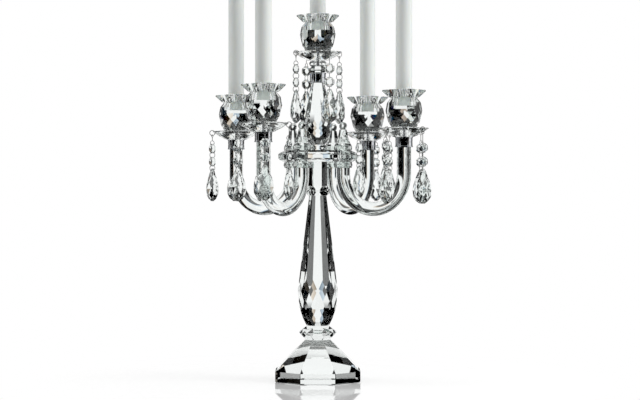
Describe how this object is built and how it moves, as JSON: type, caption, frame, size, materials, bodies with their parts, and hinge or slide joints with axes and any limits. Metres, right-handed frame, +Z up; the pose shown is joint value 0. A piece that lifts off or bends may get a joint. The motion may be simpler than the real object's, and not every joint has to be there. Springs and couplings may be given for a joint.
{
  "type": "tabletop candelabra",
  "caption": "Cut-crystal tabletop candelabra: a faceted stem on an octagonal base, U-bent glass arms, drip dishes with candle cups, and swinging pendant strands.",
  "frame": {"origin": "middle of the base block's underside, on the table", "axes": "+Z up along the stem; the four arms lie along +X, +Y, -X and -Y"},
  "size_m": [0.3528, 0.3473, 0.7403],
  "materials": {
    "crystal": "clear, cut and fire-polished",
    "pendant_crystal": "clear, machine-cut, on chromed wire rings",
    "chrome": "mirror-plated",
    "steel": "zinc-plated rod",
    "wax": "smooth white wax",
    "cotton": "plaited wick"
  },
  "bodies": {
    "root": {"base_block": "crystal", "base_collar": "crystal", "stem": "crystal", "waist_disc": "crystal", "hub_column": "crystal", "hub_plate": "crystal", "hub_seat": "crystal", "upper_baluster": "crystal", "top_rondelle": "crystal", "arm_root_collars": "crystal", "arm_bell_caps": "crystal", "bell_beads": "crystal", "top_ferrule": "chrome", "arm_ferrules": "chrome", "socket_studs": "steel", "arm_right": "crystal", "arm_rear": "crystal", "arm_left": "crystal", "arm_front": "crystal", "dish_top": "crystal", "cup_top": "crystal", "dish_right": "crystal", "cup_right": "crystal", "dish_rear": "crystal", "cup_rear": "crystal", "dish_left": "crystal", "cup_left": "crystal", "dish_front": "crystal", "cup_front": "crystal"},
    "candle_top": {"candle_top": "wax", "wick_top": "cotton"},
    "candle_right": {"candle_right": "wax", "wick_right": "cotton"},
    "candle_rear": {"candle_rear": "wax", "wick_rear": "cotton"},
    "candle_left": {"candle_left": "wax", "wick_left": "cotton"},
    "candle_front": {"candle_front": "wax", "wick_front": "cotton"},
    "pendant_top_1": {"pendant_top_1": "pendant_crystal"},
    "pendant_top_2": {"pendant_top_2": "pendant_crystal"},
    "pendant_top_3": {"pendant_top_3": "pendant_crystal"},
    "pendant_top_4": {"pendant_top_4": "pendant_crystal"},
    "pendant_right_1": {"pendant_right_1": "pendant_crystal"},
    "pendant_right_2": {"pendant_right_2": "pendant_crystal"},
    "pendant_right_3": {"pendant_right_3": "pendant_crystal"},
    "pendant_right_4": {"pendant_right_4": "pendant_crystal"},
    "pendant_rear_1": {"pendant_rear_1": "pendant_crystal"},
    "pendant_rear_2": {"pendant_rear_2": "pendant_crystal"},
    "pendant_rear_3": {"pendant_rear_3": "pendant_crystal"},
    "pendant_rear_4": {"pendant_rear_4": "pendant_crystal"},
    "pendant_left_1": {"pendant_left_1": "pendant_crystal"},
    "pendant_left_2": {"pendant_left_2": "pendant_crystal"},
    "pendant_left_3": {"pendant_left_3": "pendant_crystal"},
    "pendant_left_4": {"pendant_left_4": "pendant_crystal"},
    "pendant_front_1": {"pendant_front_1": "pendant_crystal"},
    "pendant_front_2": {"pendant_front_2": "pendant_crystal"},
    "pendant_front_3": {"pendant_front_3": "pendant_crystal"},
    "pendant_front_4": {"pendant_front_4": "pendant_crystal"}
  },
  "joints": [
    {"name": "candle_top_lift", "type": "slide", "parent": "root", "child": "candle_top", "axis": [0, 0, 1], "range_m": [0, 0.03]},
    {"name": "candle_right_lift", "type": "slide", "parent": "root", "child": "candle_right", "axis": [0, 0, 1], "range_m": [0, 0.03]},
    {"name": "candle_rear_lift", "type": "slide", "parent": "root", "child": "candle_rear", "axis": [0, 0, 1], "range_m": [0, 0.03]},
    {"name": "candle_left_lift", "type": "slide", "parent": "root", "child": "candle_left", "axis": [0, 0, 1], "range_m": [0, 0.03]},
    {"name": "candle_front_lift", "type": "slide", "parent": "root", "child": "candle_front", "axis": [0, 0, 1], "range_m": [0, 0.03]},
    {"name": "pendant_top_1_swing", "type": "hinge", "parent": "root", "child": "pendant_top_1", "pos_m": [0.01698, 0.02917, 0.44905], "axis": [0.8643, -0.503, 0], "range_deg": [-4, 25]},
    {"name": "pendant_top_2_swing", "type": "hinge", "parent": "root", "child": "pendant_top_2", "pos_m": [-0.02917, 0.01698, 0.44905], "axis": [0.503, 0.8643, 0], "range_deg": [-4, 25]},
    {"name": "pendant_top_3_swing", "type": "hinge", "parent": "root", "child": "pendant_top_3", "pos_m": [-0.01698, -0.02917, 0.44905], "axis": [-0.8643, 0.503, 0], "range_deg": [-4, 25]},
    {"name": "pendant_top_4_swing", "type": "hinge", "parent": "root", "child": "pendant_top_4", "pos_m": [0.02917, -0.01698, 0.44905], "axis": [-0.503, -0.8643, 0], "range_deg": [-4, 25]},
    {"name": "pendant_right_1_swing", "type": "hinge", "parent": "root", "child": "pendant_right_1", "pos_m": [0.16836, -0.00771, 0.34215], "axis": [-0.2284, -0.9736, 0], "range_deg": [-4, 25]},
    {"name": "pendant_right_2_swing", "type": "hinge", "parent": "root", "child": "pendant_right_2", "pos_m": [0.14321, 0.03286, 0.34215], "axis": [0.9736, -0.2284, 0], "range_deg": [-4, 25]},
    {"name": "pendant_right_3_swing", "type": "hinge", "parent": "root", "child": "pendant_right_3", "pos_m": [0.10264, 0.00771, 0.34215], "axis": [0.2284, 0.9736, 0], "range_deg": [0, 18]},
    {"name": "pendant_right_4_swing", "type": "hinge", "parent": "root", "child": "pendant_right_4", "pos_m": [0.12779, -0.03286, 0.34215], "axis": [-0.9736, 0.2284, 0], "range_deg": [-4, 25]},
    {"name": "pendant_rear_1_swing", "type": "hinge", "parent": "root", "child": "pendant_rear_1", "pos_m": [0.03335, 0.14066, 0.34215], "axis": [0.153, -0.9882, 0], "range_deg": [-4, 25]},
    {"name": "pendant_rear_2_swing", "type": "hinge", "parent": "root", "child": "pendant_rear_2", "pos_m": [-0.00516, 0.16885, 0.34215], "axis": [0.9882, 0.153, 0], "range_deg": [-4, 25]},
    {"name": "pendant_rear_3_swing", "type": "hinge", "parent": "root", "child": "pendant_rear_3", "pos_m": [-0.03335, 0.13034, 0.34215], "axis": [-0.153, 0.9882, 0], "range_deg": [-4, 25]},
    {"name": "pendant_rear_4_swing", "type": "hinge", "parent": "root", "child": "pendant_rear_4", "pos_m": [0.00516, 0.10215, 0.34215], "axis": [-0.9882, -0.153, 0], "range_deg": [0, 18]},
    {"name": "pendant_left_1_swing", "type": "hinge", "parent": "root", "child": "pendant_left_1", "pos_m": [-0.10883, 0.02069, 0.34215], "axis": [0.6129, -0.7902, 0], "range_deg": [-4, 25]},
    {"name": "pendant_left_2_swing", "type": "hinge", "parent": "root", "child": "pendant_left_2", "pos_m": [-0.15619, 0.02667, 0.34215], "axis": [0.7902, 0.6129, 0], "range_deg": [-4, 25]},
    {"name": "pendant_left_3_swing", "type": "hinge", "parent": "root", "child": "pendant_left_3", "pos_m": [-0.16217, -0.02069, 0.34215], "axis": [-0.6129, 0.7902, 0], "range_deg": [-4, 25]},
    {"name": "pendant_left_4_swing", "type": "hinge", "parent": "root", "child": "pendant_left_4", "pos_m": [-0.11481, -0.02667, 0.34215], "axis": [-0.7902, -0.6129, 0], "range_deg": [-4, 25]},
    {"name": "pendant_front_1_swing", "type": "hinge", "parent": "root", "child": "pendant_front_1", "pos_m": [0.02703, -0.11528, 0.34765], "axis": [0.599, -0.8007, 0], "range_deg": [-4, 25]},
    {"name": "pendant_front_2_swing", "type": "hinge", "parent": "root", "child": "pendant_front_2", "pos_m": [-0.02022, -0.10848, 0.34765], "axis": [0.8007, 0.599, 0], "range_deg": [-4, 25]},
    {"name": "pendant_front_3_swing", "type": "hinge", "parent": "root", "child": "pendant_front_3", "pos_m": [-0.02703, -0.15572, 0.34765], "axis": [-0.599, 0.8007, 0], "range_deg": [-4, 25]},
    {"name": "pendant_front_4_swing", "type": "hinge", "parent": "root", "child": "pendant_front_4", "pos_m": [0.02022, -0.16253, 0.34765], "axis": [-0.8007, -0.599, 0], "range_deg": [-4, 25]}
  ]
}
